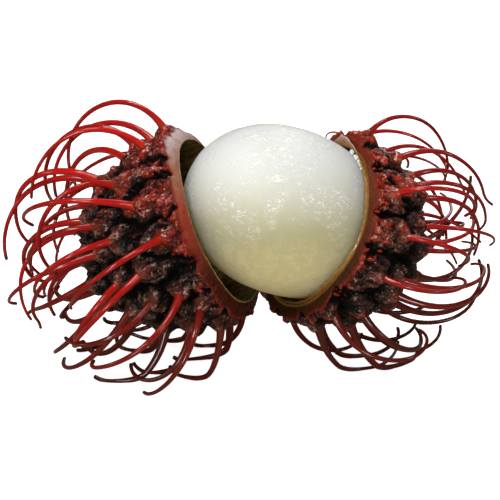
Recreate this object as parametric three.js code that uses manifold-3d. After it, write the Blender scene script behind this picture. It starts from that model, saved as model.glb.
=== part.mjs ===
// A rambutan opened round its middle and pulled apart. Two cups of spiny rind stand on their lower spines with
// their mouths towards each other, and the pale flesh, still seated in the right cup, fills the gap between them.
// Millimetres, +Z up, +X from the left cup to the right one, +Y to the back.
import * as THREE from "three";
import { mergeVertices } from "three/addons/utils/BufferGeometryUtils.js";
import Module from "manifold-3d";

const wasm = await Module();
wasm.setup();

// The two cups, each the half of an egg. The mouth's centre is given above the surface that the fruit rests on, the
// way out of it by its heading from +X and its lift, and the bevel is how far the inner lip stands out of the cut.
// Of the spines, length is that of a level one at the rim, poleShare the share of it left at the pole, longerAbove
// what is added on top and lost beneath, lean the tilt to the pole at the root, past the bend beyond the pole's
// direction, late how late along the spine the bend comes, droop the pull of gravity at the tip, and sag how much
// of the direction they bend to is down, or up where it is negative.
const leftCup = {
  name: "rind_left",
  mouth: new THREE.Vector3(-6.9, 5.3, 27),
  headingDeg: -12.8,
  liftDeg: 23.6,
  radius: 18.3,
  depth: 25,
  wall: 3.1,
  bevel: 1.7,
  spines: {
    count: 54,
    seed: 868,
    turnDeg: 130,
    length: 26.8,
    poleShare: 0.5,
    longerAbove: 0.2,
    leanDeg: 8,
    pastDeg: 80,
    late: 1.5,
    soonerAbove: 0.43,
    droop: 0.22,
    sag: 0.1,
    bendVaries: 0.18,
  },
};
const rightCup = {
  name: "rind_right",
  mouth: new THREE.Vector3(11.9, 5.4, 26.6),
  headingDeg: 205.9,
  liftDeg: 24.1,
  radius: 18,
  depth: 20,
  wall: 3,
  bevel: 0.4,
  spines: {
    count: 46,
    seed: 65,
    turnDeg: 154.6,
    length: 24.7,
    poleShare: 0.84,
    longerAbove: 0,
    leanDeg: 10.4,
    pastDeg: 75.6,
    late: 1.2,
    soonerAbove: 0.16,
    droop: 0.32,
    sag: -0.4,
    bendVaries: 0.1,
  },
};

// The flesh is an egg on the right cup's axis, and stands out of its mouth.
const flesh = {
  name: "flesh",
  standsOut: 5.6, // its centre, past the mouth
  rise: 0.3, // and above the cup's axis
  halfLength: 20.6,
  halfWidth: 14.7,
  taper: 0.07, // slimmer towards the cup's floor
  detail: 6,
};

// Section of a cup: steps round it, and along the outside and the inside from pole to mouth.
const cupMesh = { around: 44, outside: 12, inside: 7 };

// The crust is a plate round each spine's root, with a furrow between plates, and low waves over all of it.
const crust = {
  plate: 0.9, // height of a plate over the furrows
  furrow: 2.6, // width over which a furrow falls
  cone: 0.7, // height of the cone round a root
  coneRadius: 1.8,
  wave: 0.35,
  waveLength: 9,
};

// How the edge of the cut rises and falls round a mouth.
const rim = { swell: 0.5, ripple: 0.25, ripples: 5 };

// What all spines share. Each leaves the crust nearly square to it, bends over towards the pole and past it, and
// lies along the surface that the fruit rests on where it comes down to it.
const spine = {
  sides: 5,
  steps: 6,
  drawSteps: 36, // steps in which the line is worked out
  rootRadius: 0.66,
  tipRadius: 0.3,
  flare: 0.5, // extra radius in the crust
  flareShare: 0.07, // share of the length over which the flare dies away
  sunk: 1.5, // depth of the root in the crust
  lastRootDeg: 86, // roots end this far from the pole
  scatter: 0.05, // how far roots stray along the cup and round it, in radians
  scatterRound: 0.12,
  swing: 0.45, // how far a spine strays to the side, in radians
  lengthVaries: 0.14,
  landing: 2.2, // height over which a spine levels out above the surface
  pressed: 0.25, // how much of its underside is flattened there
};

const goldenAngle = Math.PI * (3 - Math.sqrt(5));
const quarter = Math.PI / 2;
const radians = THREE.MathUtils.degToRad;
const down = new THREE.Vector3(0, 0, -1);

// A repeatable draw from -1 to 1 for trait k of spine i.
function draw(seed, i, k) {
  const s = Math.sin(seed * 37.719 + i * 12.9898 + k * 78.233) * 43758.5453;
  return 2 * (s - Math.floor(s)) - 1;
}

// The frame of a cup: its origin is the mouth's centre and its +Z leaves the mouth.
function cupFrame(cup) {
  const heading = radians(cup.headingDeg);
  const lift = radians(cup.liftDeg);
  const level = Math.cos(lift);
  const axis = new THREE.Vector3(Math.cos(heading) * level, Math.sin(heading) * level, Math.sin(lift));
  const side = new THREE.Vector3(0, 0, 1).cross(axis).normalize();
  const up = axis.clone().cross(side);
  return new THREE.Matrix4().makeBasis(side, up, axis).setPosition(cup.mouth);
}

// The outward normal of a cup's egg at a point of it, in the cup's frame.
function eggNormal(cup, at) {
  return new THREE.Vector3(at.x / cup.radius ** 2, at.y / cup.radius ** 2, at.z / cup.depth ** 2).normalize();
}

// The roots of a cup's spines, evenly spread by the golden angle and then a little disturbed.
function spineRoots(cup) {
  const { count, seed, turnDeg } = cup.spines;
  const reach = 1 - Math.cos(radians(spine.lastRootDeg));
  return Array.from({ length: count }, (_, i) => {
    const share = (i + 0.5) / count;
    const fromPole = Math.acos(1 - share * reach) + spine.scatter * draw(seed, i, 1);
    const stray = (spine.scatterRound * draw(seed, i, 2)) / Math.max(0.3, Math.sin(fromPole));
    const round = radians(turnDeg) + i * goldenAngle + stray;
    const reachOut = cup.radius * Math.sin(fromPole);
    return new THREE.Vector3(
      reachOut * Math.cos(round),
      reachOut * Math.sin(round),
      -cup.depth * Math.cos(fromPole),
    );
  });
}

// Height of the crust over the egg at a point of it, in the cup's frame.
function crustHeight(at, roots) {
  const away = roots.map((root) => at.distanceTo(root)).sort((a, b) => a - b);
  const plate = crust.plate * THREE.MathUtils.smoothstep(away[1] - away[0], 0, crust.furrow);
  const cone = crust.cone * Math.exp(-((away[0] / crust.coneRadius) ** 2));
  const f = (2 * Math.PI) / crust.waveLength;
  const across = Math.sin(f * at.x + 1.9 * Math.sin(0.8 * f * at.y));
  const along = Math.cos(f * at.z + 1.7 * Math.sin(0.7 * f * at.x));
  return plate + cone + crust.wave * across * along - crust.plate;
}

// How far the cut's edge stands out of the mouth's plane, at an angle round the cup.
function rimRise(cup, round) {
  const { seed } = cup.spines;
  return rim.swell * Math.cos(2 * round + seed) + rim.ripple * Math.sin(rim.ripples * round + 2 * seed);
}

// The bare cup: its section turned on a lathe, then the crust raised outside and the cut's edge lifted.
function cupGeometry(cup, roots) {
  const { around, outside, inside } = cupMesh;
  const innerRadius = cup.radius - cup.wall;
  const innerDepth = cup.depth - cup.wall;
  const section = [];
  for (let i = 0; i <= outside; i++) {
    const a = (quarter * i) / outside;
    section.push(new THREE.Vector2(cup.radius * Math.sin(a), -cup.depth * Math.cos(a)));
  }
  section.push(new THREE.Vector2(innerRadius, cup.bevel));
  for (let i = inside; i >= 0; i--) {
    const a = (quarter * i) / inside;
    section.push(new THREE.Vector2(innerRadius * Math.sin(a), -innerDepth * Math.cos(a)));
  }
  const geometry = new THREE.LatheGeometry(section, around).rotateX(quarter);
  const position = geometry.getAttribute("position");
  const at = new THREE.Vector3();
  for (let i = 0; i < position.count; i++) {
    at.fromBufferAttribute(position, i);
    const nearMouth = (Math.hypot(at.x, at.y) / cup.radius) ** 4;
    const rise = nearMouth * rimRise(cup, Math.atan2(at.y, at.x));
    if (i % section.length <= outside) at.addScaledVector(eggNormal(cup, at), crustHeight(at, roots));
    position.setXYZ(i, at.x, at.y, at.z + rise);
  }
  return geometry;
}

// Radius of a spine at share t of its length.
function spineRadius(t) {
  const shaft = spine.tipRadius + (spine.rootRadius - spine.tipRadius) * (1 - t) ** 1.3;
  return shaft + spine.flare * Math.exp(-t / spine.flareShare);
}

// The line of spine i from its root to its tip, in the part's frame.
function spineLine(cup, frame, root, i) {
  const { seed, length, poleShare, longerAbove, leanDeg, pastDeg } = cup.spines;
  const { late, soonerAbove, droop, sag, bendVaries } = cup.spines;
  const turned = new THREE.Matrix3().setFromMatrix4(frame);
  const normal = eggNormal(cup, root).applyMatrix3(turned);
  const pole = new THREE.Vector3(0, 0, -1).applyMatrix3(turned).addScaledVector(down, sag).normalize();
  const hinge = normal.clone().cross(pole).normalize();
  hinge.applyAxisAngle(normal, spine.swing * draw(seed, i, 3));
  const toPole = normal.angleTo(pole);
  const grown = poleShare + (1 - poleShare) * Math.sin(toPole);
  const whole = length * grown * (1 + longerAbove * normal.z + spine.lengthVaries * draw(seed, i, 4));
  const lean = radians(leanDeg) * (1 + draw(seed, i, 5));
  const bend = (toPole + radians(pastDeg)) * (1 + bendVaries * draw(seed, i, 6));
  const power = late - soonerAbove * normal.z;
  const at = root.clone().applyMatrix4(frame).addScaledVector(normal, -spine.sunk);
  const line = [at.clone()];
  for (let s = 0; s < spine.drawSteps; s++) {
    const t = (s + 0.5) / spine.drawSteps;
    const way = normal.clone().applyAxisAngle(hinge, lean + bend * t ** power);
    way.addScaledVector(down, droop * t).normalize();
    const clearance = at.z - spineRadius(t) + spine.pressed;
    const steepest = Math.max(-1, -clearance / spine.landing);
    if (way.z < steepest) {
      const level = Math.sqrt(1 - steepest ** 2) / Math.max(Math.hypot(way.x, way.y), 1e-3);
      way.set(way.x * level, way.y * level, steepest);
    }
    at.addScaledVector(way, whole / spine.drawSteps);
    line.push(at.clone());
  }
  return line;
}

// One spine: a cylinder bent along its line.
function spineGeometry(line) {
  const { sides, steps } = spine;
  const curve = new THREE.CatmullRomCurve3(line);
  const frames = curve.computeFrenetFrames(steps, false);
  const geometry = new THREE.CylinderGeometry(1, 1, 1, sides, steps);
  const position = geometry.getAttribute("position");
  for (let i = 0; i < position.count; i++) {
    const t = position.getY(i) + 0.5;
    const step = Math.round(t * steps);
    const radius = spineRadius(t);
    const at = curve.getPointAt(step / steps);
    at.addScaledVector(frames.normals[step], radius * position.getZ(i));
    at.addScaledVector(frames.binormals[step], radius * position.getX(i));
    position.setXYZ(i, at.x, at.y, at.z);
  }
  return geometry;
}

// A closed geometry as a solid that can be joined and cut.
function solidOf(geometry) {
  const bare = geometry.clone();
  bare.deleteAttribute("normal");
  bare.deleteAttribute("uv");
  const merged = mergeVertices(bare, 1e-4);
  const index = Array.from(merged.index.array);
  const triVerts = [];
  for (let i = 0; i < index.length; i += 3) {
    const [a, b, c] = index.slice(i, i + 3);
    if (a !== b && b !== c && c !== a) triVerts.push(a, b, c);
  }
  return new wasm.Manifold(
    new wasm.Mesh({
      numProp: 3,
      vertProperties: merged.getAttribute("position").array,
      triVerts: new Uint32Array(triVerts),
    }),
  );
}

// A solid's largest body as a geometry, which leaves out scraps and fills sealed pockets.
function geometryOf(solid) {
  const [body] = solid.decompose().sort((a, b) => b.volume() - a.volume());
  const mesh = body.getMesh();
  const geometry = new THREE.BufferGeometry();
  geometry.setAttribute("position", new THREE.BufferAttribute(mesh.vertProperties, 3));
  geometry.setIndex(new THREE.BufferAttribute(mesh.triVerts, 1));
  geometry.computeVertexNormals();
  return geometry;
}

// A half of the rind with its spines, level where the lowest ones are pressed on the surface.
function rindMesh(cup, material) {
  const frame = cupFrame(cup);
  const roots = spineRoots(cup);
  const shell = solidOf(cupGeometry(cup, roots).applyMatrix4(frame));
  const spines = roots.map((root, i) => solidOf(spineGeometry(spineLine(cup, frame, root, i))));
  const ground = solidOf(new THREE.BoxGeometry(300, 300, 20).translate(0, 0, -10));
  const grown = wasm.Manifold.union([shell, ...spines]).subtract(ground);
  const mesh = new THREE.Mesh(geometryOf(grown), material);
  mesh.name = cup.name;
  return mesh;
}

// The flesh, an egg that lies along the right cup's axis.
function fleshMesh(material) {
  const geometry = new THREE.IcosahedronGeometry(1, flesh.detail);
  const position = geometry.getAttribute("position");
  for (let i = 0; i < position.count; i++) {
    const [x, y, z] = [position.getX(i), position.getY(i), position.getZ(i)];
    const width = flesh.halfWidth * (1 + flesh.taper * z);
    position.setXYZ(i, x * width, y * width, z * flesh.halfLength);
  }
  geometry.translate(0, flesh.rise, flesh.standsOut).applyMatrix4(cupFrame(rightCup));
  const mesh = new THREE.Mesh(geometryOf(solidOf(geometry)), material);
  mesh.name = flesh.name;
  return mesh;
}

const rindMaterial = new THREE.MeshStandardMaterial({ color: 0x6e1512, roughness: 0.5, metalness: 0 });
const fleshMaterial = new THREE.MeshStandardMaterial({ color: 0xe4e2cd, roughness: 0.25, metalness: 0 });

// The origin is on the surface, under the middle of the whole.
const rambutan = new THREE.Group();
rambutan.add(rindMesh(leftCup, rindMaterial), rindMesh(rightCup, rindMaterial), fleshMesh(fleshMaterial));
const box = new THREE.Box3().setFromObject(rambutan);
rambutan.position.set(-(box.min.x + box.max.x) / 2, -(box.min.y + box.max.y) / 2, 0);

export default rambutan;
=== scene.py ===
# An opened rambutan: two cups of spiny rind, the flesh between them and the skin round it.
import math
import bpy
import numpy as np
from mathutils import Matrix, Quaternion, Vector, noise
from mathutils.geometry import interpolate_bezier


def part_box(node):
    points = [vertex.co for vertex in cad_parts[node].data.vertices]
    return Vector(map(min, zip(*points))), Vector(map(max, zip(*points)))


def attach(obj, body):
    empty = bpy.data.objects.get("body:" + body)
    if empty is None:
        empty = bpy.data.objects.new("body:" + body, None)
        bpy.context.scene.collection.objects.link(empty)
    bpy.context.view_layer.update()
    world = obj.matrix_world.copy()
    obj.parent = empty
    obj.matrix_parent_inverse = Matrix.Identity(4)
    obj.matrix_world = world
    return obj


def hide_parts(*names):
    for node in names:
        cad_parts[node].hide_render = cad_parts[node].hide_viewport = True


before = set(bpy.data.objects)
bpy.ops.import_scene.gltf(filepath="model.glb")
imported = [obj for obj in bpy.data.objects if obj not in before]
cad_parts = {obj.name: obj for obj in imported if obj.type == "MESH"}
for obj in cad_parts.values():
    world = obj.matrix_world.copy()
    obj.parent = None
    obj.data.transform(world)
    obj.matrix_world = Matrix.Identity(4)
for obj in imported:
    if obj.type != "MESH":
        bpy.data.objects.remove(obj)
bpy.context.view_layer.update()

mm = 0.001
down = Vector((0, 0, -1))
goldenAngle = math.pi * (3 - math.sqrt(5))

# Both cups, in mm and as the solids have them down to "bendVaries". A cup's own frame has its origin in the
# mouth and +Z out of it. Of the spines, length is that of a level one at the rim, poleShare the share of it
# left at the pole, longerAbove what is added on top and lost beneath, lean the tilt to the pole at the root,
# past how far beyond the pole's direction the tip points, late how late along the spine the bend comes, droop
# the pull of gravity at the tip, and sag how much of the direction they bend to is down, or up if negative.
leftCup = {
    "node": "rind_left",
    "mouth": (-6.9, 5.3, 27.0), "headingDeg": -12.8, "liftDeg": 23.6,
    "radius": 18.3, "depth": 25.0, "wall": 3.1, "bevel": 1.7,
    "count": 54, "seed": 868, "turnDeg": 130, "length": 26.8, "poleShare": 0.5, "longerAbove": 0.2,
    "leanDeg": 8, "pastDeg": 80, "late": 1.5, "soonerAbove": 0.43,
    "droop": 0.22, "sag": 0.1, "bendVaries": 0.18,
    "girth": 1.03,  # how thick the spines are, as a share of spineRadius
    "darker": 0.0,  # and how much darker than bright red
    "tear": 0.0,  # how deep the edge of the cut is torn
}
rightCup = {
    "node": "rind_right",
    "mouth": (11.9, 5.4, 26.6), "headingDeg": 205.9, "liftDeg": 24.1,
    "radius": 18.0, "depth": 20.0, "wall": 3.0, "bevel": 0.4,
    "count": 46, "seed": 65, "turnDeg": 154.6, "length": 24.7, "poleShare": 0.84, "longerAbove": 0,
    "leanDeg": 10.4, "pastDeg": 75.6, "late": 1.2, "soonerAbove": 0.16,
    "droop": 0.32, "sag": -0.4, "bendVaries": 0.1,
    # painted shade: this cup's spines are painted darker, as the shade they lie in
    "girth": 0.84, "darker": 0.35, "tear": 2.3,
    # a small loose curl of rind at the tear, as a Bezier curve in the part's frame
    "curl": ((17.3, 12.9, 40.4), (15.9, 13.2, 42.6), (13.2, 13.1, 42.2), (13.8, 12.9, 40.2)),
    "curlGirth": 0.42,
}
# The edge of the cut rises and falls round a mouth by this many mm, and is lower where it is torn.
rim = {"swell": 0.5, "ripple": 0.25, "ripples": 5, "tearDeg": 120, "tearWideDeg": 22}


def draw(seed, i, k):  # a repeatable draw from -1 to 1 for trait k of thing i
    s = math.sin(seed * 37.719 + i * 12.9898 + k * 78.233) * 43758.5453
    return 2 * (s - math.floor(s)) - 1


def smooth(value, low, high):
    share = np.clip((value - low) / (high - low), 0, 1)
    return share * share * (3 - 2 * share)


def bell(away, wide):
    return np.exp(-(away / wide) ** 2)


def fadeFrom(away, wide):
    return np.exp(-np.abs(away) / wide)


def cupAxes(cup):
    heading, lift = math.radians(cup["headingDeg"]), math.radians(cup["liftDeg"])
    axis = Vector((math.cos(heading) * math.cos(lift), math.sin(heading) * math.cos(lift), math.sin(lift)))
    side = Vector((0, 0, 1)).cross(axis).normalized()
    return Matrix((side, axis.cross(side), axis)).transposed()


def turnToPart(cup, directions):  # from a cup's own frame to the part's
    return directions @ np.array(cupAxes(cup)).T


def toPart(cup, points):
    return turnToPart(cup, points) + np.array(cup["mouth"])


def ringPoints(radius, around, height):
    return np.stack([radius * np.cos(around), radius * np.sin(around), height], axis=1)


def upwardShare(cup, points):  # for points of the part, from 0 at the bottom of a mouth to 1 at its top
    return np.clip(0.5 + 0.5 * (points[:, 2] - cup["mouth"][2]) / cup["radius"], 0, 1)


def deselectAll():
    bpy.ops.object.select_all(action="DESELECT")


def startEdit(mode="VERT"):  # with all of the piece selected
    bpy.ops.object.mode_set(mode="EDIT")
    bpy.ops.mesh.select_mode(type=mode)
    bpy.ops.mesh.select_all(action="SELECT")


def endEdit(closed=False):  # the faces of a closed piece are turned outwards
    if closed:
        bpy.ops.mesh.select_all(action="SELECT")
        bpy.ops.mesh.normals_make_consistent(inside=False)
    bpy.ops.object.mode_set(mode="OBJECT")


def extrudeUp(height):
    bpy.ops.mesh.extrude_region_move(TRANSFORM_OT_translate={"value": (0, 0, height)})


def extrudeRings(radius, rings):  # on from a ring at height 0, with a radius and a height for each
    height = 0.0
    for nextRadius, nextHeight in rings:
        extrudeUp(nextHeight - height)
        narrower = nextRadius / radius
        bpy.ops.transform.resize(value=(narrower, narrower, 1), center_override=(0, 0, nextHeight))
        radius, height = nextRadius, nextHeight


def addEgg(name, divisions, size=(1, 1, 1)):  # an evenly divided ball, stretched to the half sizes given
    deselectAll()
    bpy.ops.mesh.primitive_cube_add(size=2)
    egg = bpy.context.object
    egg.name = name
    startEdit()
    bpy.ops.mesh.subdivide(number_cuts=divisions // 4 - 1)
    bpy.ops.mesh.subdivide(number_cuts=3)  # splits each step in four
    bpy.ops.transform.tosphere(value=1)
    endEdit()
    ballRadius = egg.data.vertices[0].co.length
    startEdit()
    bpy.ops.transform.resize(value=[half / ballRadius for half in size])
    endEdit()
    return egg


def copyPiece(obj):
    copy = obj.copy()
    copy.data = obj.data.copy()
    bpy.context.collection.objects.link(copy)
    return copy


def readPoints(obj):
    points = np.empty(len(obj.data.vertices) * 3)
    obj.data.vertices.foreach_get("co", points)
    return points.reshape(-1, 3)


def writePoints(obj, points):  # given in mm
    obj.data.vertices.foreach_set("co", (points * mm).ravel())
    obj.data.update()


def paintPoints(obj, name, values):
    layer = obj.data.attributes.new(name, "FLOAT", "POINT")
    layer.data.foreach_set("value", np.ascontiguousarray(values, dtype=np.float32))


def paintAll(obj, name, value):
    paintPoints(obj, name, np.full(len(obj.data.vertices), value))


def paintPlace(obj, name, places):
    layer = obj.data.attributes.new(name, "FLOAT_VECTOR", "POINT")
    layer.data.foreach_set("vector", np.ascontiguousarray(places, dtype=np.float32).ravel())


def finishPiece(obj, cup, material):  # the flesh is given in place of a cup for its own piece
    obj.data.materials.clear()
    obj.data.materials.append(material)
    deselectAll()
    obj.select_set(True)
    bpy.context.view_layer.objects.active = obj
    bpy.ops.object.shade_smooth()
    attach(obj, "root")
    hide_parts(cup["node"])


def joinCopies(copies, cup, name, material):
    deselectAll()
    for copy in copies:
        copy.select_set(True)
    bpy.context.view_layer.objects.active = copies[0]
    bpy.ops.object.join()
    copies[0].name = name
    finishPiece(copies[0], cup, material)


def paint(code):  # a screen colour such as "8c1a12" as Blender's own numbers
    parts = [int(code[k:k + 2], 16) / 255 for k in (0, 2, 4)]
    return (*[p / 12.92 if p <= 0.04045 else ((p + 0.055) / 1.055) ** 2.4 for p in parts], 1)


def addNode(tree, kind, values=None, **settings):
    made = tree.nodes.new("ShaderNode" + kind)
    for key, setting in settings.items():
        setattr(made, key, setting)
    for key, value in (values or {}).items():
        if isinstance(value, bpy.types.NodeSocket):
            tree.links.new(value, made.inputs[key])
        else:
            made.inputs[key].default_value = value
    return made


def calculate(tree, operation, a, b=0.0, clamp=False):
    return addNode(tree, "Math", {0: a, 1: b}, operation=operation, use_clamp=clamp).outputs[0]


def times(tree, a, b):
    return calculate(tree, "MULTIPLY", a, b)


def plus(tree, a, b):
    return calculate(tree, "ADD", a, b)


def spread(tree, value, low, high, toLow=0.0, toHigh=1.0):
    values = {"Value": value, "From Min": low, "From Max": high, "To Min": toLow, "To Max": toHigh}
    return addNode(tree, "MapRange", values, interpolation_type="SMOOTHSTEP").outputs["Result"]


def blend(tree, share, *colors):  # two colours, each from a node or written as for paint
    a, b = [paint(color) if isinstance(color, str) else color for color in colors]
    return addNode(tree, "Mix", {0: share, 6: a, 7: b}, data_type="RGBA").outputs[2]


def readPlace(tree):
    return addNode(tree, "TexCoord").outputs["Object"]


def readAttribute(tree, name, output="Fac"):
    return addNode(tree, "Attribute", attribute_name=name).outputs[output]


def addBump(tree, height, strength, distance):
    values = {"Strength": strength, "Distance": distance, "Height": height}
    return addNode(tree, "Bump", values).outputs[0]


def addNoise(tree, vector, scale, detail, distortion, roughness=0.5):
    values = {"Vector": vector, "Scale": scale, "Detail": detail, "Distortion": distortion}
    return addNode(tree, "TexNoise", {**values, "Roughness": roughness}).outputs


def wetNormal(tree, vector, scale, height, detail=3.0):  # breaks up what a wet film reflects
    return addBump(tree, addNoise(tree, vector, scale, detail, 1.4)["Fac"], 1.0, height)


def startMaterial(name, fixed):
    material = bpy.data.materials.new(name)
    material.use_nodes = True
    tree = material.node_tree
    shader = tree.nodes["Principled BSDF"]
    for key, value in fixed.items():
        shader.inputs[key].default_value = value
    return material, tree, shader


def connect(tree, node, outputs):
    for key, output in outputs.items():
        tree.links.new(output, node.inputs[key])


def grainGroup():  # crumbs and threads for every finish, each at its own size
    tree = bpy.data.node_groups.new("plantGrain", "ShaderNodeTree")
    tree.interface.new_socket("Vector", in_out="INPUT", socket_type="NodeSocketVector")
    for name in ("Crumb Scale", "Thread Scale"):
        tree.interface.new_socket(name, in_out="INPUT", socket_type="NodeSocketFloat")
    for name in ("Height", "Tint", "Threads"):
        tree.interface.new_socket(name, in_out="OUTPUT", socket_type="NodeSocketFloat")
    given = tree.nodes.new("NodeGroupInput").outputs
    vector, crumbScale, threadScale = given["Vector"], given["Crumb Scale"], given["Thread Scale"]
    wide = addNoise(tree, vector, crumbScale, 5.0, 0.4, 0.62)
    thread = addNoise(tree, vector, threadScale, 3.0, 1.6)

    # The chips' edges stray with the wide noise, and threads run where the other one crosses its middle.
    pushValues = {0: wide["Color"], "Scale": calculate(tree, "DIVIDE", 0.6, crumbScale)}
    push = addNode(tree, "VectorMath", pushValues, operation="SCALE")
    strayed = addNode(tree, "VectorMath", {0: vector, 1: push.outputs[0]}, operation="ADD")
    chip = addNode(tree, "TexVoronoi", {"Vector": strayed.outputs[0], "Scale": crumbScale})
    ridge = calculate(tree, "ABSOLUTE", calculate(tree, "SUBTRACT", thread["Fac"], 0.5))
    threads = spread(tree, ridge, 0.0, 0.09, 1.0, 0.0)
    height = plus(tree, wide["Fac"], times(tree, threads, 0.35))
    height = plus(tree, height, times(tree, chip.outputs["Distance"], -0.7))
    tint = spread(tree, wide["Fac"], 0.32, 0.68)
    connect(tree, tree.nodes.new("NodeGroupOutput"), {"Height": height, "Tint": tint, "Threads": threads})
    return tree


grain = grainGroup()


def useGrain(tree, vector, scales):  # of the crumbs and the threads, and gives Height, Tint and Threads
    made = tree.nodes.new("ShaderNodeGroup")
    made.node_tree = grain
    tree.links.new(vector, made.inputs["Vector"])
    made.inputs["Crumb Scale"].default_value, made.inputs["Thread Scale"].default_value = scales
    return made.outputs


# The flesh, an egg that lies along the right cup's axis, in mm.
flesh = {
    "node": "flesh", "standsOut": 5.6, "rise": 0.3, "halfLength": 20.6, "halfWidth": 14.7, "taper": 0.07,
    "divisions": 72,
    "swell": 0.12,  # height of the very low waves over it
    "swellSize": 9.0,
}
# Partly painted light: the flesh is painted bright yellow low down, in place of the warm light that shines
# through it and off the rind there, and darker in the middle, where the lamps light it most.
fleshLook = {  # each colour from low to top comes in between two heights, in metres
    "low": "f4ca60",
    "warm": "e6daa4", "warmRises": (0.011, 0.020),
    "middle": "b9b691", "middleRises": (0.018, 0.030),
    "top": "dbdfde", "topRises": (0.027, 0.042),
    # painted highlight: white squiggles on the upper flesh, in place of the glints of its wet film
    "glintWhite": "ffffff", "hollow": "d6dad4", "glintsRise": (0.023, 0.038),
    "mottle": "f4e8be", "mottleEnds": (0.018, 0.032),
    "grain": (1100, 980), "patches": (150, 90), "clouds": (620, 300),
    "grainTurn": (0, 0.42, -0.45), "grainStretch": (0.5, 1, 1),
    "film": 900, "filmHeight": 0.0006,
}

# The shells of rind, in mm.
shell = {
    "divisions": 132,  # steps along a quarter of the ball
    "cutRings": 14,  # across the cut face
    "cutCrown": 0.3,  # how far the cut face bulges
    "liningRings": 30,  # down the inside
    "lipRound": 0.3,  # how far the lip is rounded
    "lipNarrows": 0.3,  # and the share of that by which it narrows the mouth
    "plate": 0.9,  # the crust's plates stand this much over the furrows between them
    "furrow": 2.1,
    "furrowEven": 0.3,  # share of a furrow that runs evenly between two roots
    "furrowBent": 0.7,  # and that strays with the folds
    "cone": 1.3,  # the crust climbs this much up each spine
    "coneRadius": 1.3,
    "wave": 0.35,
    "waveLength": 9.0,
    "cleft": 0.8,  # the furrows are cut deeper by narrow clefts
    "cleftWidth": 0.8,
    "cleftClear": (1.6, 3.0),  # which start this far from a root
    "stretch": 0.55,  # all folds are longer from the rim to the pole
    "wobble": 1.0,  # how far they stray from even ones
    "wobbleSize": 2.8,
    "foldsClear": (0.8, 2.0),  # they start this far from a root
    "crag": 1.0,  # folds on the plates, with pits between them
    "cragSize": 4.4,
    "knob": 0.62,  # smaller ones on them
    "knobSize": 2.1,
    "crumb": 0.3,  # and crumbs on the crests
    "crumbSize": 1.7,
    "grit": 0.16,
    "gritSize": 0.95,
    "cutRough": 0.12,
    "cutRoughSize": 1.6,
    "tatter": 0.55,  # torn bits of skin along the edge of the cut
    "tatterSize": 1.6,
    "tatterWide": 1.1,
}
# What is painted on a shell for its material: what each kind of relief adds to the depth, from 0 in a pit to
# 1 on a crest, how wet the crust is, and how wide the rim and the roots' collars are, in mm.
shellPaint = {
    "plate": 0.22, "crag": 0.36, "knob": 0.3, "crumb": 0.26, "cleft": -0.5, "cone": 0.3, "grit": 0.14,
    "wet": 0.35, "wetAbove": 0.75, "wetRim": 0.6, "wetRimWide": 2.2,
    "edgeWide": 1.0, "collarWide": 1.3,
}
# In the looks of the rind, the darkest crust colour is painted shade for the pits, the pale crust colour is
# partly painted highlight on the crests, the drop colour is painted highlight, and the lining colours are
# painted shade for the inside of the cup.
leftLook = {
    "crustPitShade": "060201", "crustRed": "480b05", "crustBrown": "4c2a1a", "crustWet": "bc260a",
    "crustPaleAndGlint": "cc9a80", "fibre": "684a3c", "fleck": "b83412", "drop": "f0cfc8", "skinEdge": "6e1206",
    "pithTop": "ccb6b6", "pithUpper": "985f43", "pithMid": "983622", "pithLow": "401004",
    "lip": "c4ab74", "lipFrom": 0.88, "shadedLining": "3a2911", "shadedLiningPale": "6a5728",
}
rightLook = {
    "crustPitShade": "060201", "crustRed": "440d06", "crustBrown": "4e2e20", "crustWet": "d4360c",
    "crustPaleAndGlint": "ac8878", "fibre": "664c40", "fleck": "dc4416", "drop": "f0c4b4", "skinEdge": "7c160b",
    "pithTop": "7c2410", "pithUpper": "6c280e", "pithMid": "5a240c", "pithLow": "341806",
    "lip": "9c6f2c", "lipFrom": 0.8, "shadedLining": "4a3212", "shadedLiningPale": "8a6a2c",
}
rindGrain = {
    "coarse": (0.9, 0.7), "fine": (2.3, 1.9), "film": 1.1,  # to a mm of the cup's own frame
    "patches": (260, 180), "spots": (620, 500), "paintedGlints": 1150.0,  # to a metre of the part's
    "height": 0.0006, "fineShare": 0.45, "filmHeight": 0.0009,
    "heightOnCut": 0.15, "filmOnCut": 0.35,  # shares that are left off the crust
}


def eggNormals(cup, points):
    normals = points / np.array([cup["radius"], cup["radius"], cup["depth"]]) ** 2
    return normals / np.linalg.norm(normals, axis=1, keepdims=True)


def spineRoots(cup):  # in the cup's own frame
    reach = 1 - math.cos(math.radians(spine["lastRootDeg"]))
    roots = []
    for i in range(cup["count"]):
        fromPole = math.acos(1 - (i + 0.5) / cup["count"] * reach)
        fromPole += spine["scatter"] * draw(cup["seed"], i, 1)
        stray = spine["scatterRound"] * draw(cup["seed"], i, 2) / max(0.3, math.sin(fromPole))
        around = math.radians(cup["turnDeg"]) + i * goldenAngle + stray
        out = cup["radius"] * math.sin(fromPole)
        roots.append((out * math.cos(around), out * math.sin(around), -cup["depth"] * math.cos(fromPole)))
    return np.array(roots)


def rootDistances(points, roots):  # to the nearest root, and how much further the next one is
    away = np.sort(np.linalg.norm(points[:, None] - roots[None], axis=2), axis=1)
    return away[:, 0], away[:, 1] - away[:, 0]


def cellGap(points, size):  # 0 between two cells of a crumbly surface, and up to 1 inside them
    gaps = np.empty(len(points))
    for k, point in enumerate(points / size):
        near = noise.voronoi(Vector(point))[0]
        gaps[k] = near[1] - near[0]
    return smooth(gaps, 0.0, 0.42)


def crumble(points, size, octaves):  # about -1 to 1
    return np.array([noise.fractal(Vector(p), 0.8, 2.1, octaves) for p in points / size])


def crests(points, size, octaves):  # sharp crests at 1, with pits down to 0
    values = [noise.ridged_multi_fractal(Vector(p), 0.9, 2.2, octaves, 1.0, 1.6) for p in points / size]
    return smooth(np.array(values), 0.4, 2.1)


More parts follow.
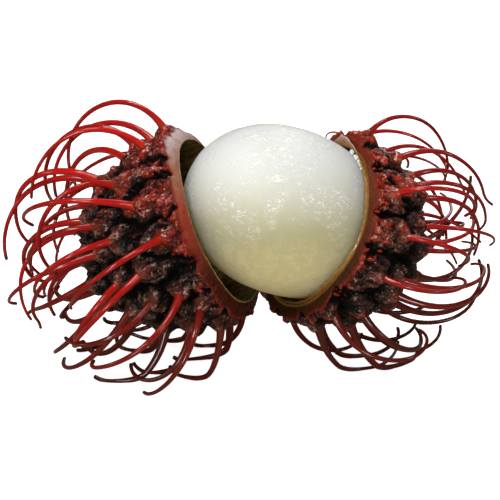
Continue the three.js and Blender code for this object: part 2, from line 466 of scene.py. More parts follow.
def bellRound(around, middleDeg, wideDeg):  # 1 at an angle round the cup, and 0 away from it
    return bell((np.degrees(around) - middleDeg + 180) % 360 - 180, wideDeg)


def rimRise(cup, around):
    swell = rim["swell"] * np.cos(2 * around + cup["seed"])
    ripple = rim["ripple"] * np.sin(rim["ripples"] * around + 2 * cup["seed"])
    return swell + ripple - cup["tear"] * bellRound(around, rim["tearDeg"], rim["tearWideDeg"])


def crustWave(points):  # the same low waves as in the solids
    f = 2 * math.pi / shell["waveLength"]
    x, y, z = points.T
    return np.sin(f * x + 1.9 * np.sin(0.8 * f * y)) * np.cos(f * z + 1.7 * np.sin(0.7 * f * x))


def crustRelief(roots, points):  # the crust's height over the egg, and its painted depth
    strays = [crumble(points + k * 31, shell["wobbleSize"], 3) for k in range(3)]
    warped = points + shell["wobble"] * np.stack(strays, axis=1)
    stretch = np.array([1, 1, shell["stretch"]])
    long = warped * stretch
    nearest, gap = rootDistances(points, roots)
    bentNearest, bentGap = rootDistances(long, roots * stretch)
    plate = smooth(shell["furrowEven"] * gap + shell["furrowBent"] * bentGap, 0, shell["furrow"])
    cone = shell["cone"] * bell(nearest, shell["coneRadius"])
    cleft = bell(bentGap, shell["cleftWidth"]) * smooth(bentNearest, *shell["cleftClear"])

    # A whole number added to the points keeps one pattern from lying on another.
    offRoot = smooth(nearest, *shell["foldsClear"])
    crags = crests(long, shell["cragSize"], 3)
    knobs = crests(long + 41, shell["knobSize"], 2)
    crumbs = cellGap(long + 17, shell["crumbSize"])
    grit = crumble(long, shell["gritSize"], 2)
    tatters = fadeFrom(points[:, 2], shell["tatterWide"]) * crumble(points + 53, shell["tatterSize"], 3)
    height = shell["plate"] * (plate - 1) + cone + shell["wave"] * crustWave(points)
    height += offRoot * (shell["crag"] * (crags - 0.5) + shell["knob"] * (knobs - 0.5))
    height += offRoot * (shell["crumb"] * (crumbs - 0.6) + shell["grit"] * grit)
    height += shell["tatter"] * tatters - shell["cleft"] * cleft
    kinds = ("plate", "crag", "knob", "crumb", "cleft", "cone", "grit")
    reliefs = (plate, crags, knobs, crumbs, cleft, cone, grit)
    depth = sum(shellPaint[kind] * relief for kind, relief in zip(kinds, reliefs))
    return height, np.clip(depth, 0, 1)


def shellRings(cup):  # radius and height of each ring from the cut's outer edge to the floor of the cup
    inner, floor = cup["radius"] - cup["wall"], cup["depth"] - cup["wall"]
    rings = []
    for k in range(1, shell["cutRings"] + 1):
        share = k / shell["cutRings"]
        height = share * cup["bevel"] + shell["cutCrown"] * math.sin(math.pi * share)
        rings.append((cup["radius"] - share * cup["wall"], height))
    lip = shell["lipRound"]
    for turnDeg in (30, 60, 90):
        a = math.radians(turnDeg)
        radius = inner - lip * math.sin(a) * shell["lipNarrows"]
        rings.append((radius, cup["bevel"] - lip * (1 - math.cos(a))))
    for k in range(1, shell["liningRings"]):
        a = math.pi / 2 * (1 - k / shell["liningRings"])
        rings.append((inner * math.sin(a), -floor * math.cos(a)))
    return rings


def addShell(cup, name, material):  # half of an egg, with its edge extruded in and down to the floor
    obj = addEgg(name, shell["divisions"], (cup["radius"], cup["radius"], cup["depth"]))
    startEdit("EDGE")
    bpy.ops.mesh.bisect(plane_co=(0, 0, 0), plane_no=(0, 0, 1), clear_outer=True, threshold=1e-5)
    bpy.ops.mesh.select_all(action="DESELECT")
    bpy.ops.mesh.select_non_manifold()
    extrudeRings(cup["radius"], shellRings(cup))
    extrudeUp(-0.02)
    bpy.ops.mesh.merge(type="CENTER")
    endEdit(closed=True)
    growShell(cup, obj)
    finishPiece(obj, cup, material)


def growShell(cup, obj):  # raises the crust and the edge of the cut, and paints what the material reads
    points = readPoints(obj)
    roots = spineRoots(cup)
    fromAxis = np.hypot(points[:, 0], points[:, 1])
    around, z = np.arctan2(points[:, 1], points[:, 0]), points[:, 2]
    onEgg = (fromAxis / cup["radius"]) ** 2 + (z / cup["depth"]) ** 2
    crust = (onEgg > 0.999) & (z < 1e-4)
    across = np.clip((cup["radius"] - fromAxis) / cup["wall"], 0, 1)
    inside = ~crust
    cut = inside & (z > 0) & (across < 1)

    source = np.where(crust[:, None], points, ringPoints(cup["radius"], around, 0 * around))
    normals = eggNormals(cup, source)
    raised = crust | cut
    height, depth = np.zeros(len(points)), np.zeros(len(points))
    height[raised], depth[raised] = crustRelief(roots, source[raised])
    height[cut] *= (1 - across[cut]) ** 3
    nearMouth = (fromAxis / cup["radius"]) ** 4
    grown = points + normals * height[:, None]
    grown[:, 2] += nearMouth * rimRise(cup, around)
    rough = crumble(points[inside], shell["cutRoughSize"], 4)
    grown[inside, 2] += shell["cutRough"] * nearMouth[inside] * rough
    part = toPart(cup, grown) + shift
    writePoints(obj, part)

    wet = shellPaint["wet"] + shellPaint["wetAbove"] * turnToPart(cup, normals)[:, 2]
    wet += shellPaint["wetRim"] * fadeFrom(z, shellPaint["wetRimWide"])
    collar = bell(rootDistances(points, roots)[0], shellPaint["collarWide"])
    maps = {
        "depth": np.where(crust, depth, 1), "wet": np.clip(wet, 0, 1), "collar": collar * crust,
        "edge": fadeFrom(z, shellPaint["edgeWide"]) * crust, "upward": upwardShare(cup, part),
        "across": across, "cut": cut * smooth(across, 0.0, 0.1), "shadedLining": (inside & ~cut) * 1.0,
    }
    for key, values in maps.items():
        paintPoints(obj, key, values)
    paintPlace(obj, "own", points * np.array([1, 1, shell["stretch"]]))


def crustColor(tree, look, maps, place):
    depth, fresh, spot, speck = [maps[key] for key in ("depth", "fresh", "spot", "speck")]
    browned = times(tree, spread(tree, maps["patch"], 0.15, 0.7), spread(tree, maps["tint"], 0.1, 0.8))
    dry = blend(tree, browned, look["crustRed"], look["crustBrown"])
    wet = blend(tree, maps["patch"], look["crustRed"], look["crustWet"])
    crust = blend(tree, fresh, dry, wet)
    crust = blend(tree, times(tree, maps["collar"], 0.4), crust, look["crustWet"])
    flecked = times(tree, maps["edge"], spread(tree, spot, 0.35, 0.75))
    crust = blend(tree, flecked, crust, look["fleck"])
    # Partly painted highlight: the crests are painted pale in spots, as pale dry crumbs and as the glints
    # they catch.
    pale = times(tree, spread(tree, depth, 0.5, 0.85), spread(tree, speck, 0.35, 0.85))
    pale = times(tree, pale, spread(tree, spot, 0.35, 0.8))
    crust = blend(tree, times(tree, pale, 0.7), crust, look["crustPaleAndGlint"])
    fibrous = times(tree, maps["fibres"], spread(tree, fresh, 0.0, 0.6, 0.5, 0.0))
    crust = blend(tree, fibrous, crust, look["fibre"])
    # Painted shade: the pits and clefts of the crust are painted near black, as the shade that lies in them.
    outOfPits = plus(tree, depth, spread(tree, speck, 0, 0.6, -0.14, 0.03))
    outOfPits = plus(tree, outOfPits, times(tree, fresh, 0.12))
    crust = blend(tree, spread(tree, outOfPits, 0.34, 0.8), look["crustPitShade"], crust)
    # Painted highlight: small near-white specks on the wetter crests stand in for the glints of a wet film.
    paintedGlints = spread(tree, addNoise(tree, place, rindGrain["paintedGlints"], 1.0, 0.9)["Fac"], 0.62, 0.71)
    paintedGlints = times(tree, paintedGlints, spread(tree, depth, 0.35, 0.6))
    paintedGlints = times(tree, paintedGlints, spread(tree, fresh, 0, 1, 0.45, 0.9))
    return blend(tree, paintedGlints, crust, look["drop"])


def cutColor(tree, look, maps):  # by height from low to top, and across from the skin's edge to the lip
    upward, across = maps["upward"], maps["across"]
    # Partly painted shade: the cut face is painted darker and browner towards the bottom, for its own colour
    # there and for the shade it lies in.
    pith = blend(tree, spread(tree, upward, 0.32, 0.66), look["pithLow"], look["pithMid"])
    pith = blend(tree, spread(tree, upward, 0.64, 0.8), pith, look["pithUpper"])
    pith = blend(tree, spread(tree, upward, 0.82, 0.96), pith, look["pithTop"])
    pith = blend(tree, times(tree, maps["tint"], 0.3), pith, look["pithLow"])
    pith = blend(tree, spread(tree, across, 0.04, 0.3, 1, 0), pith, look["skinEdge"])
    return blend(tree, spread(tree, across, look["lipFrom"], 0.98), pith, look["lip"])


def rindMaterial(name, look):
    material, tree, shader = startMaterial(name, {
        "IOR": 1.45, "Specular IOR Level": 0.1, "Coat Roughness": 0.16,
    })
    keys = ("depth", "across", "cut", "shadedLining", "wet", "edge", "collar", "upward")
    maps = {key: readAttribute(tree, key) for key in keys}
    place, own = readPlace(tree), readAttribute(tree, "own", "Vector")
    coarse, fine = useGrain(tree, own, rindGrain["coarse"]), useGrain(tree, own, rindGrain["fine"])
    patch = useGrain(tree, place, rindGrain["patches"])["Tint"]
    spot = useGrain(tree, place, rindGrain["spots"])["Tint"]
    fresh = spread(tree, plus(tree, maps["wet"], times(tree, patch, 0.5)), 0.65, 1.3)
    maps.update(patch=patch, spot=spot, fresh=fresh)
    maps.update(tint=coarse["Tint"], speck=fine["Tint"], fibres=fine["Threads"])
    outside = blend(tree, maps["cut"], crustColor(tree, look, maps, place), cutColor(tree, look, maps))
    # Painted shade: the lining, pale in itself, is painted dark olive brown, as the shade in the cavity.
    shadedLining = blend(tree, maps["tint"], look["shadedLining"], look["shadedLiningPale"])

    offCrust = calculate(tree, "MAXIMUM", maps["cut"], maps["shadedLining"])
    dull = plus(tree, spread(tree, fresh, 0, 1, 0.6, 0.45), spread(tree, spot, 0, 1, -0.06, 0.14))
    film = times(tree, spread(tree, fresh, 0, 1, 0.6, 1.0), spread(tree, spot, 0.2, 0.7, 0.45, 1.0))
    film = times(tree, film, spread(tree, maps["depth"], 0.15, 0.55, 0.1, 1.0))
    relief = plus(tree, coarse["Height"], times(tree, fine["Height"], rindGrain["fineShare"]))
    relief = times(tree, relief, spread(tree, offCrust, 0, 1, 1.0, rindGrain["heightOnCut"]))
    connect(tree, shader, {
        "Base Color": blend(tree, maps["shadedLining"], outside, shadedLining),
        "Roughness": calculate(tree, "ADD", dull, times(tree, maps["cut"], -0.1), clamp=True),
        "Coat Weight": times(tree, film, spread(tree, offCrust, 0, 1, 1, rindGrain["filmOnCut"])),
        "Normal": addBump(tree, relief, 1.0, rindGrain["height"]),
        "Coat Normal": wetNormal(tree, own, rindGrain["film"], rindGrain["filmHeight"], 1.2),
    })
    return material


# Small wet lumps of pulp that stick to the crust along the edge of the cut, in mm.
pulp = {
    "count": 130, "divisions": 8,
    "size": (0.13, 0.36),
    "stretch": 3.2,  # how long the longest are for their width
    "flat": 0.8,
    "knobby": 0.35, "knobSize": 1.1,
    "nearest": 0.25,  # to the edge
    "reach": 3.4,  # and how much further down they lie at most
    "crowded": 1.8,  # the higher, the more of them are near it
    "grain": (2400, 1500),
}
leftPulpLook = {"red": "96180c", "dark": "400905"}
rightPulpLook = {"red": "c4300e", "dark": "5e0f06"}


def addPulp(cup, name, material):
    lump = addEgg("lump", pulp["divisions"])
    unit = readPoints(lump)
    seed, copies = cup["seed"] + 7, []
    around = np.array([math.pi * draw(seed, i, 1) for i in range(pulp["count"])])
    away = np.array([abs(draw(seed, i, 2)) ** pulp["crowded"] for i in range(pulp["count"])])
    below = pulp["nearest"] + pulp["reach"] * away
    out = cup["radius"] * np.sqrt(1 - (below / cup["depth"]) ** 2)
    places = ringPoints(out, around, -below)
    height = crustRelief(spineRoots(cup), places)[0]
    normals = eggNormals(cup, places)
    places += normals * height[:, None]
    places[:, 2] += (out / cup["radius"]) ** 4 * rimRise(cup, around)
    smallest, largest = pulp["size"]
    for i, (place, normal) in enumerate(zip(places, normals)):
        size = smallest + (largest - smallest) * (0.5 + 0.5 * draw(seed, i, 3)) ** 2
        turn = Quaternion(Vector(normal), math.pi * draw(seed, i, 4)) @ Vector(normal).to_track_quat("Z", "Y")
        long = 1 + (pulp["stretch"] - 1) * (0.5 + 0.5 * draw(seed, i, 5))
        knobby = 1 + pulp["knobby"] * crumble(unit + 9 * i, pulp["knobSize"], 2)
        shaped = unit * knobby[:, None] * np.array([size * long, size, size * pulp["flat"]])
        copy = copyPiece(lump)
        writePoints(copy, toPart(cup, shaped @ np.array(turn.to_matrix()).T + place) + shift)
        # Painted shade: a lump is painted darker the more it faces down, on top of its random tone.
        upward = (cupAxes(cup) @ Vector(normal)).z
        toneAndShade = 0.5 + 0.5 * draw(seed, i, 6) - 0.8 * upward
        paintAll(copy, "toneAndShade", min(1.2, max(0.0, toneAndShade)))
        copies.append(copy)
    bpy.data.objects.remove(lump)
    joinCopies(copies, cup, name, material)


def pulpMaterial(name, look):
    material, tree, shader = startMaterial(name, {"IOR": 1.42})
    made = useGrain(tree, readPlace(tree), pulp["grain"])
    share = times(tree, plus(tree, made["Tint"], readAttribute(tree, "toneAndShade")), 0.5)
    connect(tree, shader, {
        "Base Color": blend(tree, share, look["red"], look["dark"]),
        "Roughness": spread(tree, made["Tint"], 0, 1, 0.12, 0.3),
        "Normal": addBump(tree, made["Height"], 0.5, 0.0002),
    })
    return material


# The spines, with the same values as the solids have from drawSteps down to pressed.
spine = {
    "sides": 12,
    "drawSteps": 36,
    "rootRadius": 0.66, "tipRadius": 0.3, "flare": 0.5, "flareShare": 0.07, "sunk": 1.5,
    "lastRootDeg": 86, "scatter": 0.05, "scatterRound": 0.12, "swing": 0.45, "lengthVaries": 0.14,
    "landing": 2.2, "pressed": 0.25,
    "thicker": 0.25,  # how much more the ones beneath are
    "girthVaries": 0.12,
    "flat": 0.9,  # width across the flatter way, as a share of the other
    "twist": 1.2,  # how far that way turns from root to tip at most, in radians
    "wander": 0.16,  # how far a spine strays from its even curve, in mm
    "wanders": 3.1,  # and how often
    "hookFrom": 0.88,  # share of the length where a dry tip starts to hook
    "hookDeg": 70,
    "tipRound": 0.012,  # how far the round end stands out, as a share of the length
}
spineLook = {
    "root": "d03408", "shaft": "d20d07", "far": "ac0a0a", "tip": "4a2018", "under": "301004",
    "shade": "5c0403", "grain": (2.2, 3.5), "grainLength": 2.5,
}


def spineRadius(t):
    shaft = spine["tipRadius"] + (spine["rootRadius"] - spine["tipRadius"]) * (1 - t) ** 1.3
    return shaft + spine["flare"] * math.exp(-t / spine["flareShare"])


def spineLine(cup, root, i):  # points from the root to the tip in the part's frame, and the crust's normal
    seed, axes = cup["seed"], cupAxes(cup)
    normal = axes @ Vector(eggNormals(cup, root[None])[0])
    pole = (axes @ down + cup["sag"] * down).normalized()
    hinge = normal.cross(pole).normalized()
    hinge.rotate(Quaternion(normal, spine["swing"] * draw(seed, i, 3)))
    toPole = normal.angle(pole)
    grown = cup["poleShare"] + (1 - cup["poleShare"]) * math.sin(toPole)
    varied = 1 + cup["longerAbove"] * normal.z + spine["lengthVaries"] * draw(seed, i, 4)
    whole = cup["length"] * grown * varied
    lean = math.radians(cup["leanDeg"]) * (1 + draw(seed, i, 5))
    bend = (toPole + math.radians(cup["pastDeg"])) * (1 + cup["bendVaries"] * draw(seed, i, 6))
    power = cup["late"] - cup["soonerAbove"] * normal.z
    hook = math.radians(spine["hookDeg"]) * max(0, draw(seed, i, 7)) * (1 if draw(seed, i, 8) > -0.5 else -1)
    at = Vector(toPart(cup, root)) - spine["sunk"] * normal
    line = [at.copy()]
    for s in range(spine["drawSteps"]):
        t = (s + 0.5) / spine["drawSteps"]
        late = max(0, (t - spine["hookFrom"]) / (1 - spine["hookFrom"]))
        way = normal.copy()
        way.rotate(Quaternion(hinge, lean + bend * t ** power + hook * late))
        way = (way + cup["droop"] * t * down).normalized()
        clearance = at.z - spineRadius(t) + spine["pressed"]
        steepest = max(-1, -clearance / spine["landing"])
        if way.z < steepest:
            level = math.sqrt(1 - steepest ** 2) / max(math.hypot(way.x, way.y), 1e-3)
            way = Vector((way.x * level, way.y * level, steepest))
        at = at + way * (whole / spine["drawSteps"])
        line.append(at.copy())
    return line, normal


def addStraightSpine():  # one spine that stands along +Z, with its share of the length as its height
    deselectAll()
    bpy.ops.mesh.primitive_circle_add(vertices=spine["sides"], radius=spineRadius(0), fill_type="NGON")
    obj = bpy.context.object
    startEdit("FACE")
    shares = [k / spine["drawSteps"] for k in range(1, spine["drawSteps"] + 1)]
    rings = [(spineRadius(share), share) for share in shares]
    for turnDeg in (30, 55, 75):
        a = math.radians(turnDeg)
        rings.append((spineRadius(1) * math.cos(a), 1 + spine["tipRound"] * math.sin(a)))
    extrudeRings(spineRadius(0), rings)
    bpy.ops.mesh.poke()
    endEdit(closed=True)
    return obj


def lineFrames(line):  # two directions square to each step of a line, carried along it without twist
    ways = [(b - a).normalized() for a, b in zip(line, line[1:])]
    ways.append(ways[-1])
    across = ways[0].orthogonal().normalized()
    result = []
    for before, way in zip([ways[0]] + ways, ways):
        across.rotate(before.rotation_difference(way))
        result.append((*across, *way.cross(across)))
    return result


def followLine(t, values):  # the values at shares t of the way through them
    steps = np.linspace(0, 1, len(values))
    return np.stack([np.interp(t, steps, column) for column in np.array(values).T], axis=1)


def bendSpine(obj, line, cup, i, girth, beneath):
    seed, straight = cup["seed"], readPoints(obj)
    t = straight[:, 2]
    pastEnd = np.clip(t - 1, 0, None)[:, None] * np.array(line[-1] - line[-2]) * (len(line) - 1)
    frames = followLine(t, lineFrames(line))
    turn = math.pi * draw(seed, i, 9) + spine["twist"] * t * draw(seed, i, 10)
    x, y = straight[:, 0] * girth, straight[:, 1] * girth * spine["flat"]
    u, v = x * np.cos(turn) - y * np.sin(turn), x * np.sin(turn) + y * np.cos(turn)
    stray = spine["wander"] * smooth(t, 0.1, 0.5)
    often = spine["wanders"]
    sway = np.array([[noise.noise(Vector((often * s, i, k * 9 + seed))) for k in range(2)] for s in t])
    points = followLine(t, line) + pastEnd
    points += frames[:, :3] * (u + stray * sway[:, 0])[:, None]
    points += frames[:, 3:] * (v + stray * sway[:, 1])[:, None]
    points += shift
    points[:, 2] = np.maximum(points[:, 2], 0)
    writePoints(obj, points)

    # The grain follows a place that runs round the spine and along it, further on for each one.
    radius = np.maximum(np.hypot(straight[:, 0], straight[:, 1]), 1e-6)
    runs = spineLook["grainLength"] * t + 5 * i
    paintPlace(obj, "wrap", np.stack([straight[:, 0] / radius, straight[:, 1] / radius, runs], axis=1))
    paintPoints(obj, "along", t)
    # each spine gets a random tone, with the cup's painted shade added on top
    paintAll(obj, "toneAndShade", cup["darker"] + 0.5 + 0.5 * draw(seed, i, 12))
    paintAll(obj, "beneath", beneath)


def addSpines(cup, name, material):
    straight = addStraightSpine()
    copies = []
    for i, root in enumerate(spineRoots(cup)):
        line, normal = spineLine(cup, root, i)
        beneath = float(smooth(-normal.z, 0.0, 0.75))
        girth = cup["girth"] + spine["girthVaries"] * draw(cup["seed"], i, 11) + spine["thicker"] * beneath
        copies.append(copyPiece(straight))
        bendSpine(copies[-1], line, cup, i, girth, beneath)
    if "curl" in cup:
        curl = [Vector(point) for point in interpolate_bezier(*cup["curl"], spine["drawSteps"] + 1)]
        copies.append(copyPiece(straight))
        bendSpine(copies[-1], curl, cup, cup["count"], cup["curlGirth"], 0.0)
    bpy.data.objects.remove(straight)
    joinCopies(copies, cup, name, material)


def spineMaterial(name, look):
    material, tree, shader = startMaterial(name, {
        "IOR": 1.4, "Specular IOR Level": 0.08, "Coat Roughness": 0.13,
    })
    along, toneAndShade, beneath = [readAttribute(tree, key) for key in ("along", "toneAndShade", "beneath")]
    made = useGrain(tree, readAttribute(tree, "wrap", "Vector"), look["grain"])
    color = blend(tree, spread(tree, along, 0.05, 0.15), look["root"], look["shaft"])
    color = blend(tree, spread(tree, along, 0.25, 0.8), color, look["far"])
    color = blend(tree, spread(tree, along, 0.93, 1.0), color, look["tip"])
    color = blend(tree, times(tree, toneAndShade, 0.5), color, look["shade"])
    color = blend(tree, times(tree, made["Tint"], 0.35), color, look["shade"])
    # Partly painted shade: the spines that grow from beneath are painted darker brown, for their own browner
    # colour and for the shade under the fruit.
    connect(tree, shader, {
        "Base Color": blend(tree, times(tree, beneath, 0.8), color, look["under"]),
        "Roughness": spread(tree, made["Tint"], 0, 1, 0.24, 0.4),
        "Coat Weight": spread(tree, along, 0.0, 1.0, 0.8, 0.5),
        "Normal": addBump(tree, made["Height"], 0.5, 0.00015),
    })
    return material


def fleshPoints(unit):  # from a unit ball to the part's frame
    width = flesh["halfWidth"] * (1 + flesh["taper"] * unit[:, 2])
    own = np.stack([unit[:, 0] * width, unit[:, 1] * width, unit[:, 2] * flesh["halfLength"]], axis=1)
    return toPart(rightCup, own + np.array([0, flesh["rise"], flesh["standsOut"]]))


def addFlesh(name, material):
    obj = addEgg(name, flesh["divisions"])
    unit = readPoints(obj)
    points = fleshPoints(unit)
    waves = crumble(points, flesh["swellSize"], 2)
    writePoints(obj, points + flesh["swell"] * waves[:, None] * turnToPart(rightCup, unit) + shift)
    finishPiece(obj, flesh, material)


def fleshMaterial(name, look):
    material, tree, shader = startMaterial(name, {
        "IOR": 1.38, "Specular IOR Level": 0.3, "Coat Roughness": 0.07,
        "Subsurface Weight": 1.0, "Subsurface Scale": 0.018, "Subsurface Radius": (1.0, 0.85, 0.55),
    })
    place = readPlace(tree)
    turned = {"Vector": place, "Rotation": look["grainTurn"], "Scale": look["grainStretch"]}
    along = addNode(tree, "Mapping", turned).outputs["Vector"]
    made = useGrain(tree, along, look["grain"])
    patch = useGrain(tree, place, look["patches"])["Tint"]
    cloud = useGrain(tree, place, look["clouds"])["Tint"]
    up = addNode(tree, "SeparateXYZ", {0: place}).outputs["Z"]
    # Partly painted light: the yellow low down and the darker middle stand in for how the flesh is lit, and
    # the top is its own white.
    color = blend(tree, spread(tree, up, *look["warmRises"]), look["low"], look["warm"])
    color = blend(tree, spread(tree, up, *look["middleRises"]), color, look["middle"])
    color = blend(tree, spread(tree, up, *look["topRises"]), color, look["top"])
    # Painted highlight: thin white squiggles are painted over the upper flesh, as the glints of its wet film,
    # with a bump along them.
    glintPatch = times(tree, spread(tree, up, *look["glintsRise"]), spread(tree, patch, 0.2, 0.85))
    broken = times(tree, spread(tree, made["Threads"], 0.5, 0.95), spread(tree, made["Tint"], 0.3, 0.7))
    fleshGlints = times(tree, glintPatch, broken)
    color = blend(tree, times(tree, glintPatch, 0.3), color, look["hollow"])
    mottled = times(tree, spread(tree, cloud, 0.3, 0.8), spread(tree, up, *look["mottleEnds"], 0.42, 0.0))
    color = blend(tree, mottled, color, look["mottle"])
    relief = plus(tree, times(tree, fleshGlints, 0.7), times(tree, made["Height"], 0.2))
    connect(tree, shader, {
        "Base Color": blend(tree, fleshGlints, color, look["glintWhite"]),
        "Roughness": spread(tree, made["Tint"], 0, 1, 0.38, 0.5),
        "Coat Weight": spread(tree, glintPatch, 0.1, 0.7, 0.1, 0.35),
        "Normal": addBump(tree, relief, 0.7, 0.0004),
        "Coat Normal": wetNormal(tree, along, look["film"], look["filmHeight"]),
    })
    return material


# The thin skin that is left between the flesh and the lip of the cup, in mm.
skin = {
    "around": 200, "rows": 10,
    "from": -1.6,  # it starts this far inside the mouth
    "inset": 0.1,  # and this far off the lining
    "stands": 0.35,  # it stands this much out of the lip
    "flap": 0.8,  # and this much more where it is folded out over the cut
    "flapDeg": 92, "flapWideDeg": 20,
    "flare": 1.6,  # how far it is folded out there
    "crease": 0.3, "creaseSize": 0.8,
    "clear": 0.35,  # elsewhere it leans towards a line this far off the flesh
    "lean": 0.75,  # by this share of the way
    "leanOver": (-0.4, 0.2),  # from under the lip to over its own edge
    "flapStays": 0.9,  # and the flap that much less
    "ragged": 0.3, "raggedSize": 1.4,
    "rough": 0.06, "roughSize": 0.9,
    "thick": 0.12,
    "flapPale": (0.78, 1.0),  # shares of its height between which the flap turns pale
}
skinLook = {"top": "c9b3b4", "middle": "a8742a", "low": "5a471d", "dark": "5e3c14", "grain": (900, 700)}

# Drops of juice between the flesh and that skin, in mm.
juice = {
    "count": 9, "seed": 3, "divisions": 8,
    "fromDeg": 56, "toDeg": 80, "uneven": 0.4,
    "size": (0.2, 0.42), "long": 1.2,
    "above": 0.55, "aboveVaries": 0.25,  # over the lip
    "off": 0.45, "offVaries": 0.1,  # from the flesh to a drop's middle
}
juiceLook = {"clear": "f6f7f2", "shade": "d9dcd4", "grain": (1800, 900)}


def fleshRadius(height):  # of the flesh at a height over the right cup's mouth
    unit = (height - flesh["standsOut"]) / flesh["halfLength"]
    return flesh["halfWidth"] * (1 + flesh["taper"] * unit) * np.sqrt(1 - unit ** 2)


def addSkin(cup, name, material):
    deselectAll()
    bpy.ops.mesh.primitive_circle_add(vertices=skin["around"], radius=1)
    obj = bpy.context.object
    obj.name = name
    startEdit("EDGE")
    for _ in range(skin["rows"]):
        extrudeUp(1 / skin["rows"])
    endEdit()

    points = readPoints(obj)
    around, share = np.arctan2(points[:, 1], points[:, 0]), points[:, 2]
    inner = cup["radius"] - cup["wall"]
    onLip = ringPoints(inner, around, 0 * around)
    flap = bellRound(around, skin["flapDeg"], skin["flapWideDeg"])
    lip = cup["bevel"] + rimRise(cup, around)
    top = lip + skin["stands"] + skin["flap"] * flap + skin["ragged"] * crumble(onLip, skin["raggedSize"], 3)
    height = skin["from"] + share * (top - skin["from"])
    wall = inner - skin["inset"]
    startsLean, endsLean = skin["leanOver"]
    lean = skin["lean"] * smooth(height, lip + startsLean, top + endsLean) * (1 - skin["flapStays"] * flap)
    out = wall + lean * (fleshRadius(height) + skin["clear"] - wall)
    folded = flap * smooth(height, lip, top)
    creased = folded * (skin["flare"] + skin["crease"] * crumble(onLip, skin["creaseSize"], 2))
    out += skin["rough"] * crumble(onLip + height[:, None], skin["roughSize"], 2) + creased
    part = toPart(cup, ringPoints(out, around, height)) + shift
    writePoints(obj, part)
    paintPoints(obj, "flap", flap * smooth(share + 0.1 * crumble(onLip, 1.0, 2), *skin["flapPale"]))
    paintPoints(obj, "upward", upwardShare(cup, part))
    bpy.ops.object.modifier_add(type="SOLIDIFY")
    obj.modifiers[-1].thickness = skin["thick"] * mm
    bpy.ops.object.modifier_apply(modifier=obj.modifiers[-1].name)
    finishPiece(obj, cup, material)


def skinMaterial(name, look):
    material, tree, shader = startMaterial(name, {
        "IOR": 1.4, "Coat Weight": 0.5, "Coat Roughness": 0.1,
        "Subsurface Weight": 0.5, "Subsurface Scale": 0.001,
    })
    made = useGrain(tree, readPlace(tree), look["grain"])
    upward, flap = readAttribute(tree, "upward"), readAttribute(tree, "flap")
    color = blend(tree, spread(tree, upward, 0.05, 0.5), look["low"], look["middle"])
    color = blend(tree, times(tree, made["Tint"], 0.35), color, look["dark"])
    connect(tree, shader, {
        "Base Color": blend(tree, flap, color, look["top"]),
        "Roughness": spread(tree, made["Tint"], 0, 1, 0.3, 0.5),
        "Normal": addBump(tree, made["Height"], 0.5, 0.0003),
    })
    return material


def addJuice(cup, name, material):
    drop = addEgg("drop", juice["divisions"])
    unit = readPoints(drop)
    seed, copies = juice["seed"], []
    smallest, largest = juice["size"]
    for i in range(juice["count"]):
        share = (i + 0.5 + juice["uneven"] * draw(seed, i, 1)) / juice["count"]
        around = math.radians(juice["fromDeg"] + share * (juice["toDeg"] - juice["fromDeg"]))
        size = smallest + (largest - smallest) * (0.5 + 0.5 * draw(seed, i, 2))
        lip = cup["bevel"] + rimRise(cup, around)
        height = lip + juice["above"] + juice["aboveVaries"] * draw(seed, i, 3)
        out = fleshRadius(height) + juice["off"] + juice["offVaries"] * draw(seed, i, 4)
        place = np.array([out * math.cos(around), out * math.sin(around), height])
        copies.append(copyPiece(drop))
        shaped = unit * np.array([size, juice["long"] * size, size])
        writePoints(copies[-1], toPart(cup, shaped + place) + shift)
    bpy.data.objects.remove(drop)
    joinCopies(copies, cup, name, material)


def juiceMaterial(name, look):
    material, tree, shader = startMaterial(name, {
        "IOR": 1.34, "Coat Weight": 0.8, "Coat Roughness": 0.03,
        "Subsurface Weight": 0.6, "Subsurface Scale": 0.001, "Subsurface Radius": (1.0, 0.9, 0.75),
    })
    made = useGrain(tree, readPlace(tree), look["grain"])
    connect(tree, shader, {
        "Base Color": blend(tree, made["Tint"], look["shade"], look["clear"]),
        "Roughness": spread(tree, made["Tint"], 0, 1, 0.05, 0.12),
        "Normal": addBump(tree, made["Height"], 0.2, 0.0001),
    })
    return material


def groupShift():  # the solids were moved to the middle of the frame, and all points go with them
    count, seed = 20000, 5  # of the directions in which the flesh's reach is found
    directions = np.array([[draw(seed, i, k) for k in range(3)] for i in range(count)])
    ball = fleshPoints(directions / np.linalg.norm(directions, axis=1, keepdims=True))
    boxLow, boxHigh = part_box("flesh")
    step = np.array((boxLow + boxHigh) / 2) / mm - (ball.min(axis=0) + ball.max(axis=0)) / 2
    step[2] = 0
    return step


shift = groupShift()
print("cups and flesh are shifted by", shift.round(3), "mm")

spineFinish = spineMaterial("glossySpine", spineLook)
addShell(leftCup, "leftShell", rindMaterial("leftRindFinish", leftLook))
print("left shell made")
addShell(rightCup, "rightShell", rindMaterial("rightRindFinish", rightLook))
print("right shell made")
addPulp(leftCup, "leftPulp", pulpMaterial("darkPulp", leftPulpLook))
addPulp(rightCup, "rightPulp", pulpMaterial("brightPulp", rightPulpLook))
print("pulp made")
addSpines(leftCup, "leftSpines", spineFinish)
addSpines(rightCup, "rightSpines", spineFinish)
print("spines made")
addSkin(rightCup, "rightSkin", skinMaterial("thinSkin", skinLook))
addJuice(rightCup, "juiceDrops", juiceMaterial("clearJuice", juiceLook))
print("skin and juice made")
addFlesh("fleshEgg", fleshMaterial("wetFlesh", fleshLook))
print("flesh made")


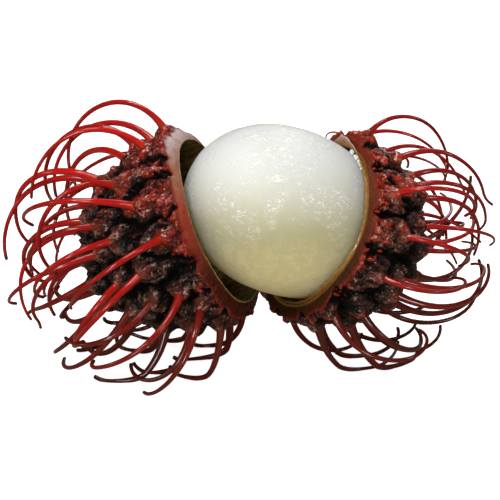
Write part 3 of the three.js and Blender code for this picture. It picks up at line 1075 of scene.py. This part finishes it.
# Floor, light and camera, in metres.
studio = {
    "cameraUpDeg": 15, "cameraAway": 0.3, "seenWidth": 0.0877, "aimHeight": 0.0234,
    "floorSize": 3.0, "floorDrop": 0.0001,
    "floorColor": (0.9, 0.9, 0.9, 1), "floorGlow": 0.85,  # as the camera sees it
    "floorBounce": (0.46, 0.42, 0.33, 1),  # and as it lights the fruit
    "sky": 0.15, "skyColor": (1, 0.86, 0.68, 1),
    "lamps": [  # place, size and power
        ("topLamp", (-0.02, -0.08, 0.45), 0.12, 0.72),
        ("frontLamp", (-0.04, -0.52, 0.13), 0.12, 1.15),
        ("keyLamp", (-0.15, -0.30, 0.40), 0.05, 0.65),
        ("leftLamp", (-0.36, -0.20, 0.16), 0.08, 0.2),
        ("rightLamp", (0.34, -0.24, 0.20), 0.06, 0.23),
        ("backLamp", (0.12, 0.40, 0.32), 0.20, 0.6),
    ],
}


def addSky():
    world = bpy.data.worlds.new("softSky")
    bpy.context.scene.world = world
    world.use_nodes = True
    background = world.node_tree.nodes["Background"]
    background.inputs["Color"].default_value = studio["skyColor"]
    background.inputs["Strength"].default_value = studio["sky"]


def addFloor():
    deselectAll()
    bpy.ops.mesh.primitive_plane_add(size=studio["floorSize"], location=(0, 0, -studio["floorDrop"]))
    floor = bpy.context.object
    floor.name = "floor"
    fixed = {"Roughness": 0.9, "Base Color": studio["floorColor"]}
    material, tree, shader = startMaterial("paleFloor", fixed)
    glow = addNode(tree, "Emission", {"Strength": studio["floorGlow"]})
    seen = addNode(tree, "AddShader", {0: shader.outputs[0], 1: glow.outputs[0]})
    bounce = addNode(tree, "BsdfDiffuse", {"Color": studio["floorBounce"]})
    byCamera = addNode(tree, "LightPath").outputs["Is Camera Ray"]
    choose = addNode(tree, "MixShader", {0: byCamera, 1: bounce.outputs[0], 2: seen.outputs[0]})
    tree.links.new(choose.outputs[0], tree.nodes["Material Output"].inputs["Surface"])
    floor.data.materials.append(material)


def addFacing(name, data, place, back):  # a lamp or camera that faces away from a direction
    obj = bpy.data.objects.new(name, data)
    obj.location = place
    obj.rotation_euler = back.to_track_quat("Z", "Y").to_euler()
    bpy.context.collection.objects.link(obj)
    return obj


def addLamp(name, place, size, power):
    lamp = bpy.data.lights.new(name, "AREA")
    lamp.size, lamp.energy = size, power
    addFacing(name, lamp, place, Vector(place) - Vector((0, 0, studio["aimHeight"])))


def addCamera():
    eye = bpy.data.cameras.new("camera")
    eye.sensor_width = 36
    eye.lens = eye.sensor_width * studio["cameraAway"] / studio["seenWidth"]
    up = math.radians(studio["cameraUpDeg"])
    back = Vector((0, -math.cos(up), math.sin(up)))
    aim = Vector((shift[0] * mm, shift[1] * mm, studio["aimHeight"]))
    bpy.context.scene.camera = addFacing("camera", eye, aim + back * studio["cameraAway"], back)


addSky()
addFloor()
for lampValues in studio["lamps"]:
    addLamp(*lampValues)
addCamera()
bpy.context.scene.view_settings.view_transform = "Standard"
print("floor, lamps and camera set up")
